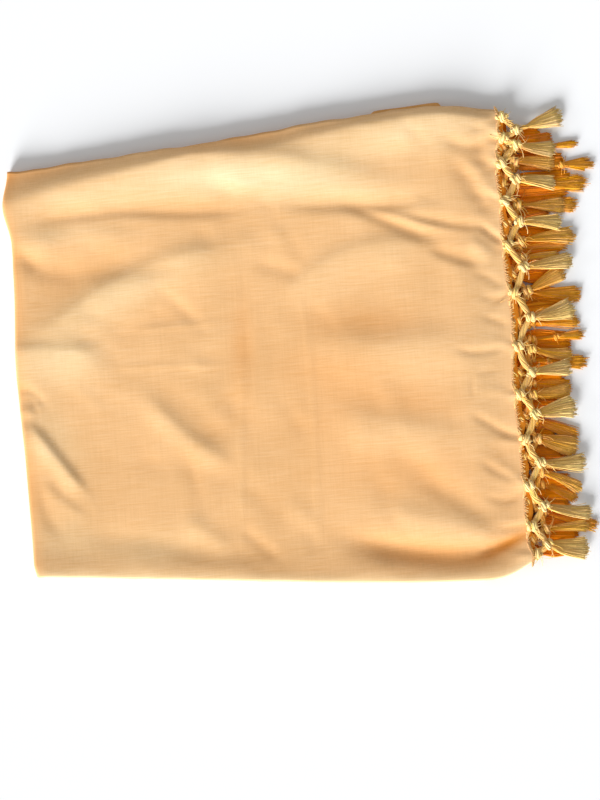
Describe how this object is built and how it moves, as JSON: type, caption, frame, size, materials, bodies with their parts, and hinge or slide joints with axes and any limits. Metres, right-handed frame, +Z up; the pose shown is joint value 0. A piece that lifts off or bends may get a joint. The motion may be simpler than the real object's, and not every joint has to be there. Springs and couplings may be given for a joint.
{
  "type": "folded woven shawl",
  "caption": "Plain ochre cotton shawl, folded flat in eight plies, with a knotted tassel fringe along one edge.",
  "frame": {"origin": "middle of the bounding box, on the plane that the folded shawl rests on", "axes": "+X towards the fringe, +Y towards the selvages (the width fold is at -Y), +Z up from the resting plane"},
  "size_m": [0.5934, 0.4798, 0.0208],
  "materials": {
    "cloth": "matt plain weave with slubs",
    "cloth_folded": "matt plain weave with slubs",
    "fringe": "matt loose cotton threads"
  },
  "bodies": {
    "root": {"cloth_outer": "cloth", "cloth_inner": "cloth_folded", "fringe_net_upper": "fringe", "tassel_upper_01": "fringe", "tassel_upper_02": "fringe", "tassel_upper_03": "fringe", "tassel_upper_04": "fringe", "tassel_upper_05": "fringe", "tassel_upper_06": "fringe", "tassel_upper_07": "fringe", "tassel_upper_08": "fringe", "tassel_upper_09": "fringe", "tassel_upper_10": "fringe", "tassel_upper_11": "fringe", "fringe_net_middle": "fringe", "tassel_middle_01": "fringe", "tassel_middle_02": "fringe", "tassel_middle_03": "fringe", "tassel_middle_04": "fringe", "tassel_middle_05": "fringe", "tassel_middle_06": "fringe", "tassel_middle_07": "fringe", "tassel_middle_08": "fringe", "tassel_middle_09": "fringe", "tassel_middle_10": "fringe", "fringe_net_lower": "fringe", "tassel_lower_01": "fringe", "tassel_lower_02": "fringe", "tassel_lower_03": "fringe", "tassel_lower_04": "fringe", "tassel_lower_05": "fringe", "tassel_lower_06": "fringe", "tassel_lower_07": "fringe", "tassel_lower_08": "fringe", "tassel_lower_09": "fringe", "tassel_lower_10": "fringe", "tassel_lower_11": "fringe", "tassel_lower_12": "fringe", "tassel_lower_13": "fringe"}
  },
  "joints": []
}
